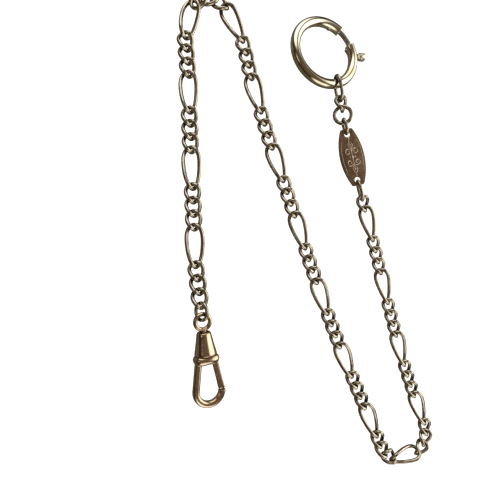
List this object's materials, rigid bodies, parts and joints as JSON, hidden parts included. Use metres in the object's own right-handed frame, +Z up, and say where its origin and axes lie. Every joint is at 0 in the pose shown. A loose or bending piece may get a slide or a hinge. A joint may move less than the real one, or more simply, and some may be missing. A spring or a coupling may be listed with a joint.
{
  "type": "pocket watch chain",
  "caption": "Long-and-short curb-link watch chain with a spring bolt ring and an oval tag at one end and a swivel clip with a sprung gate at the other, laid out in an open S.",
  "frame": {"origin": "middle of the laid-out chain in X and Y, on the surface it lies on", "axes": "+Z up, out of the surface; +Y from the lower bend towards the bolt ring; +X to the right of the clip, the ring and chain being to the right of the clip seen from above"},
  "size_m": [0.0721, 0.1209, 0.0055],
  "materials": {
    "chain_gold": "polished, worn gold-filled wire",
    "bolt_ring_gold": "polished pale gold",
    "tag_copper": "polished copper gold with an engraved ornament",
    "clip_copper": "polished copper gold",
    "spring_steel": "bright spring steel"
  },
  "bodies": {
    "bolt_ring": {"bolt_ring_body": "bolt_ring_gold", "bolt_spring": "spring_steel"},
    "bolt_slider": {"bolt": "spring_steel", "thumb_knob": "bolt_ring_gold"},
    "ring_bail": {"ring_bail": "chain_gold"},
    "ring_link": {"ring_link": "chain_gold"},
    "jump_ring": {"jump_ring": "chain_gold"},
    "tag_ring_upper": {"tag_ring_upper": "chain_gold"},
    "ornament_tag": {"ornament_tag": "tag_copper"},
    "tag_ring_lower": {"tag_ring_lower": "chain_gold"},
    "first_link": {"first_link": "chain_gold"},
    "long_link_01": {"long_link_01": "chain_gold"},
    "short_links_01": {"short_links_01": "chain_gold"},
    "long_link_02": {"long_link_02": "chain_gold"},
    "short_links_02": {"short_links_02": "chain_gold"},
    "long_link_03": {"long_link_03": "chain_gold"},
    "short_links_03": {"short_links_03": "chain_gold"},
    "long_link_04": {"long_link_04": "chain_gold"},
    "short_link_04a": {"short_link_04a": "chain_gold"},
    "short_link_04b": {"short_link_04b": "chain_gold"},
    "short_link_04c": {"short_link_04c": "chain_gold"},
    "long_link_05": {"long_link_05": "chain_gold"},
    "short_link_05a": {"short_link_05a": "chain_gold"},
    "short_link_05b": {"short_link_05b": "chain_gold"},
    "short_link_05c": {"short_link_05c": "chain_gold"},
    "long_link_06": {"long_link_06": "chain_gold"},
    "short_links_06": {"short_links_06": "chain_gold"},
    "long_link_07": {"long_link_07": "chain_gold"},
    "short_links_07": {"short_links_07": "chain_gold"},
    "long_link_08": {"long_link_08": "chain_gold"},
    "short_links_08": {"short_links_08": "chain_gold"},
    "long_link_09": {"long_link_09": "chain_gold"},
    "short_links_09": {"short_links_09": "chain_gold"},
    "long_link_10": {"long_link_10": "chain_gold"},
    "short_links_10": {"short_links_10": "chain_gold"},
    "long_link_11": {"long_link_11": "chain_gold"},
    "short_links_11": {"short_links_11": "chain_gold"},
    "long_link_12": {"long_link_12": "chain_gold"},
    "short_link_12a": {"short_link_12a": "chain_gold"},
    "short_link_12b": {"short_link_12b": "chain_gold"},
    "short_link_12c": {"short_link_12c": "chain_gold"},
    "long_link_13": {"long_link_13": "chain_gold"},
    "short_links_13": {"short_links_13": "chain_gold"},
    "long_link_14": {"long_link_14": "chain_gold"},
    "short_links_14": {"short_links_14": "chain_gold"},
    "long_link_15": {"long_link_15": "chain_gold"},
    "short_links_15": {"short_links_15": "chain_gold"},
    "long_link_16": {"long_link_16": "chain_gold"},
    "short_links_16": {"short_links_16": "chain_gold"},
    "swivel_link": {"swivel_link": "chain_gold"},
    "swivel_eye": {"swivel_eye": "clip_copper"},
    "swivel_clip": {"swivel_housing": "clip_copper", "swivel_collar": "clip_copper", "swivel_hook": "clip_copper", "gate_pin": "spring_steel", "gate_spring": "spring_steel"},
    "gate": {"gate_lever": "clip_copper"}
  },
  "joints": [
    {"name": "bolt_slide_turn", "type": "hinge", "parent": "bolt_ring", "child": "bolt_slider", "pos_m": [0.00397, 0.05028, 0.002], "axis": [-0.0294, 0.0727, 0.9969], "range_deg": [-35, 0], "stiffness_Nm_per_rad": 0.006, "deforming": ["bolt_spring"]},
    {"name": "ring_bail_turn", "type": "hinge", "parent": "bolt_ring", "child": "ring_bail", "pos_m": [0.00728, 0.0421, 0.00269], "axis": [0.9272, 0.3746, 0], "range_deg": [-40, 40]},
    {"name": "ring_link_turn", "type": "hinge", "parent": "ring_bail", "child": "ring_link", "pos_m": [0.00819, 0.03814, 0.00248], "axis": [0, 0, 1], "range_deg": [-20, 20]},
    {"name": "jump_ring_turn", "type": "hinge", "parent": "ring_link", "child": "jump_ring", "pos_m": [0.00867, 0.03541, 0.00234], "axis": [0, 0, -1], "range_deg": [-20, 20]},
    {"name": "tag_ring_upper_turn", "type": "hinge", "parent": "jump_ring", "child": "tag_ring_upper", "pos_m": [0.00927, 0.03218, 0.00216], "axis": [0.9681, 0.2504, 0], "range_deg": [-25, 25]},
    {"name": "ornament_tag_turn", "type": "hinge", "parent": "tag_ring_upper", "child": "ornament_tag", "pos_m": [0.01, 0.02936, 0.00216], "axis": [0, 0, 1], "range_deg": [-18, 18]},
    {"name": "tag_ring_lower_turn", "type": "hinge", "parent": "ornament_tag", "child": "tag_ring_lower", "pos_m": [0.01327, 0.01574, 0.00216], "axis": [-0.9659, -0.2588, 0], "range_deg": [-25, 25]},
    {"name": "first_link_turn", "type": "hinge", "parent": "tag_ring_lower", "child": "first_link", "pos_m": [0.0144, 0.01152, 0.00216], "axis": [0, 0, -1], "range_deg": [-8, 8]},
    {"name": "long_link_01_turn", "type": "hinge", "parent": "first_link", "child": "long_link_01", "pos_m": [0.01591, 0.0089, 0.00136], "axis": [0.9659, 0.2588, 0], "range_deg": [-14, 14]},
    {"name": "short_links_01_turn", "type": "hinge", "parent": "long_link_01", "child": "short_links_01", "pos_m": [0.01811, 0.00069, 0.00136], "axis": [0, 0, 1], "range_deg": [-8, 30]},
    {"name": "long_link_02_turn", "type": "hinge", "parent": "short_links_01", "child": "long_link_02", "pos_m": [0.02044, -0.00831, 0.00136], "axis": [-0.9703, -0.2419, 0], "range_deg": [-30, 30]},
    {"name": "short_links_02_turn", "type": "hinge", "parent": "long_link_02", "child": "short_links_02", "pos_m": [0.02249, -0.01656, 0.00136], "axis": [0, 0, -1], "range_deg": [-30, 5]},
    {"name": "long_link_03_turn", "type": "hinge", "parent": "short_links_02", "child": "long_link_03", "pos_m": [0.02494, -0.02553, 0.00136], "axis": [0.9588, 0.284, 0], "range_deg": [-30, 30]},
    {"name": "short_links_03_turn", "type": "hinge", "parent": "long_link_03", "child": "short_links_03", "pos_m": [0.02735, -0.03368, 0.00136], "axis": [0, 0, 1], "range_deg": [-4, 30]},
    {"name": "long_link_04_turn", "type": "hinge", "parent": "short_links_03", "child": "long_link_04", "pos_m": [0.03046, -0.04244, 0.00136], "axis": [-0.9239, -0.3827, 0], "range_deg": [-30, 30]},
    {"name": "short_link_04a_turn", "type": "hinge", "parent": "long_link_04", "child": "short_link_04a", "pos_m": [0.03371, -0.0503, 0.00136], "axis": [0.9816, 0.1908, 0], "range_deg": [-30, 30]},
    {"name": "short_link_04b_turn", "type": "hinge", "parent": "short_link_04a", "child": "short_link_04b", "pos_m": [0.0343, -0.05334, 0.00136], "axis": [0, 0, 1], "range_deg": [0, 30]},
    {"name": "short_link_04c_turn", "type": "hinge", "parent": "short_link_04b", "child": "short_link_04c", "pos_m": [0.03324, -0.05625, 0.00136], "axis": [0, 0, 1], "range_deg": [0, 30]},
    {"name": "long_link_05_turn", "type": "hinge", "parent": "short_link_04c", "child": "long_link_05", "pos_m": [0.03072, -0.05805, 0.00136], "axis": [0, 0, 1], "range_deg": [0, 30]},
    {"name": "short_link_05a_turn", "type": "hinge", "parent": "long_link_05", "child": "short_link_05a", "pos_m": [0.02222, -0.05828, 0.00136], "axis": [0, 0, 1], "range_deg": [0, 30]},
    {"name": "short_link_05b_turn", "type": "hinge", "parent": "short_link_05a", "child": "short_link_05b", "pos_m": [0.01955, -0.0567, 0.00136], "axis": [0, 0, 1], "range_deg": [0, 30]},
    {"name": "short_link_05c_turn", "type": "hinge", "parent": "short_link_05b", "child": "short_link_05c", "pos_m": [0.01805, -0.05399, 0.00136], "axis": [0.9367, 0.3502, 0], "range_deg": [-30, 30]},
    {"name": "long_link_06_turn", "type": "hinge", "parent": "short_link_05c", "child": "long_link_06", "pos_m": [0.01696, -0.05109, 0.00136], "axis": [-0.9063, -0.4226, 0], "range_deg": [-30, 30]},
    {"name": "short_links_06_turn", "type": "hinge", "parent": "long_link_06", "child": "short_links_06", "pos_m": [0.01337, -0.04338, 0.00136], "axis": [0.9091, 0.4167, 0], "range_deg": [-30, 30]},
    {"name": "long_link_07_turn", "type": "hinge", "parent": "short_links_06", "child": "long_link_07", "pos_m": [0.00955, -0.0349, 0.00136], "axis": [-0.9171, -0.3987, 0], "range_deg": [-30, 30]},
    {"name": "short_links_07_turn", "type": "hinge", "parent": "long_link_07", "child": "short_links_07", "pos_m": [0.00616, -0.02711, 0.00136], "axis": [0, 0, 1], "range_deg": [-4, 20]},
    {"name": "long_link_08_turn", "type": "hinge", "parent": "short_links_07", "child": "long_link_08", "pos_m": [0.00268, -0.01849, 0.00136], "axis": [0.9367, 0.3502, 0], "range_deg": [-30, 30]},
    {"name": "short_links_08_turn", "type": "hinge", "parent": "long_link_08", "child": "short_links_08", "pos_m": [-0.0003, -0.01052, 0.00136], "axis": [-0.9389, -0.3441, 0], "range_deg": [-30, 30]},
    {"name": "long_link_09_turn", "type": "hinge", "parent": "short_links_08", "child": "long_link_09", "pos_m": [-0.00344, -0.00177, 0.00136], "axis": [0.9455, 0.3256, 0], "range_deg": [-30, 30]},
    {"name": "short_links_09_turn", "type": "hinge", "parent": "long_link_09", "child": "short_links_09", "pos_m": [-0.00621, 0.00626, 0.00136], "axis": [0, 0, -1], "range_deg": [-20, 10]},
    {"name": "long_link_10_turn", "type": "hinge", "parent": "short_links_09", "child": "long_link_10", "pos_m": [-0.00932, 0.01503, 0.00136], "axis": [-0.9397, -0.342, 0], "range_deg": [-30, 30]},
    {"name": "short_links_10_turn", "type": "hinge", "parent": "long_link_10", "child": "short_links_10", "pos_m": [-0.01222, 0.02302, 0.00136], "axis": [0.9448, 0.3276, 0], "range_deg": [-30, 30]},
    {"name": "long_link_11_turn", "type": "hinge", "parent": "short_links_10", "child": "long_link_11", "pos_m": [-0.01513, 0.03185, 0.00136], "axis": [-0.9588, -0.284, 0], "range_deg": [-30, 30]},
    {"name": "short_links_11_turn", "type": "hinge", "parent": "long_link_11", "child": "short_links_11", "pos_m": [-0.01755, 0.04, 0.00136], "axis": [0, 0, 1], "range_deg": [-30, 20]},
    {"name": "long_link_12_turn", "type": "hinge", "parent": "short_links_11", "child": "long_link_12", "pos_m": [-0.0198, 0.04902, 0.00136], "axis": [0.8704, 0.4924, 0], "range_deg": [-30, 30]},
    {"name": "short_link_12a_turn", "type": "hinge", "parent": "long_link_12", "child": "short_link_12a", "pos_m": [-0.02398, 0.05641, 0.00136], "axis": [0, 0, -1], "range_deg": [0, 30]},
    {"name": "short_link_12b_turn", "type": "hinge", "parent": "short_link_12a", "child": "short_link_12b", "pos_m": [-0.02674, 0.05782, 0.00136], "axis": [0, 0, -1], "range_deg": [0, 30]},
    {"name": "short_link_12c_turn", "type": "hinge", "parent": "short_link_12b", "child": "short_link_12c", "pos_m": [-0.02982, 0.05742, 0.00136], "axis": [0, 0, -1], "range_deg": [0, 30]},
    {"name": "long_link_13_turn", "type": "hinge", "parent": "short_link_12c", "child": "long_link_13", "pos_m": [-0.03212, 0.05534, 0.00136], "axis": [0, 0, -1], "range_deg": [0, 30]},
    {"name": "short_links_13_turn", "type": "hinge", "parent": "long_link_13", "child": "short_links_13", "pos_m": [-0.03411, 0.04708, 0.00136], "axis": [0, 0, 1], "range_deg": [-30, 15]},
    {"name": "long_link_14_turn", "type": "hinge", "parent": "short_links_13", "child": "long_link_14", "pos_m": [-0.03346, 0.0378, 0.00136], "axis": [0.9997, 0.0262, 0], "range_deg": [-30, 30]},
    {"name": "short_links_14_turn", "type": "hinge", "parent": "long_link_14", "child": "short_links_14", "pos_m": [-0.03323, 0.02931, 0.00136], "axis": [0, 0, -1], "range_deg": [-20, 30]},
    {"name": "long_link_15_turn", "type": "hinge", "parent": "short_links_14", "child": "long_link_15", "pos_m": [-0.03295, 0.02001, 0.00136], "axis": [-0.9994, -0.0349, 0], "range_deg": [-30, 30]},
    {"name": "short_links_15_turn", "type": "hinge", "parent": "long_link_15", "child": "short_links_15", "pos_m": [-0.03265, 0.01151, 0.00136], "axis": [0, 0, 1], "range_deg": [-30, 30]},
    {"name": "long_link_16_turn", "type": "hinge", "parent": "short_links_15", "child": "long_link_16", "pos_m": [-0.03233, 0.00222, 0.00136], "axis": [0.9994, 0.0349, 0], "range_deg": [-30, 30]},
    {"name": "short_links_16_turn", "type": "hinge", "parent": "long_link_16", "child": "short_links_16", "pos_m": [-0.03203, -0.00628, 0.00136], "axis": [0, 0, -1], "range_deg": [-30, 24]},
    {"name": "swivel_link_turn", "type": "hinge", "parent": "short_links_16", "child": "swivel_link", "pos_m": [-0.0316, -0.01535, 0.00345], "axis": [0, 0, 1], "range_deg": [-25, 25]},
    {"name": "swivel_eye_turn", "type": "hinge", "parent": "swivel_link", "child": "swivel_eye", "pos_m": [-0.03138, -0.01785, 0.00381], "axis": [0.9982, 0.0593, 0], "range_deg": [-45, 4]},
    {"name": "swivel_clip_turn", "type": "hinge", "parent": "swivel_eye", "child": "swivel_clip", "pos_m": [-0.03124, -0.01887, 0.00366], "axis": [0.1292, -0.9813, -0.1426], "continuous": true},
    {"name": "gate_turn", "type": "hinge", "parent": "swivel_clip", "child": "gate", "pos_m": [-0.02832, -0.02687, 0.00246], "axis": [0.0186, -0.1414, 0.9898], "range_deg": [-25, 0], "stiffness_Nm_per_rad": 0.002, "deforming": ["gate_spring"]}
  ]
}
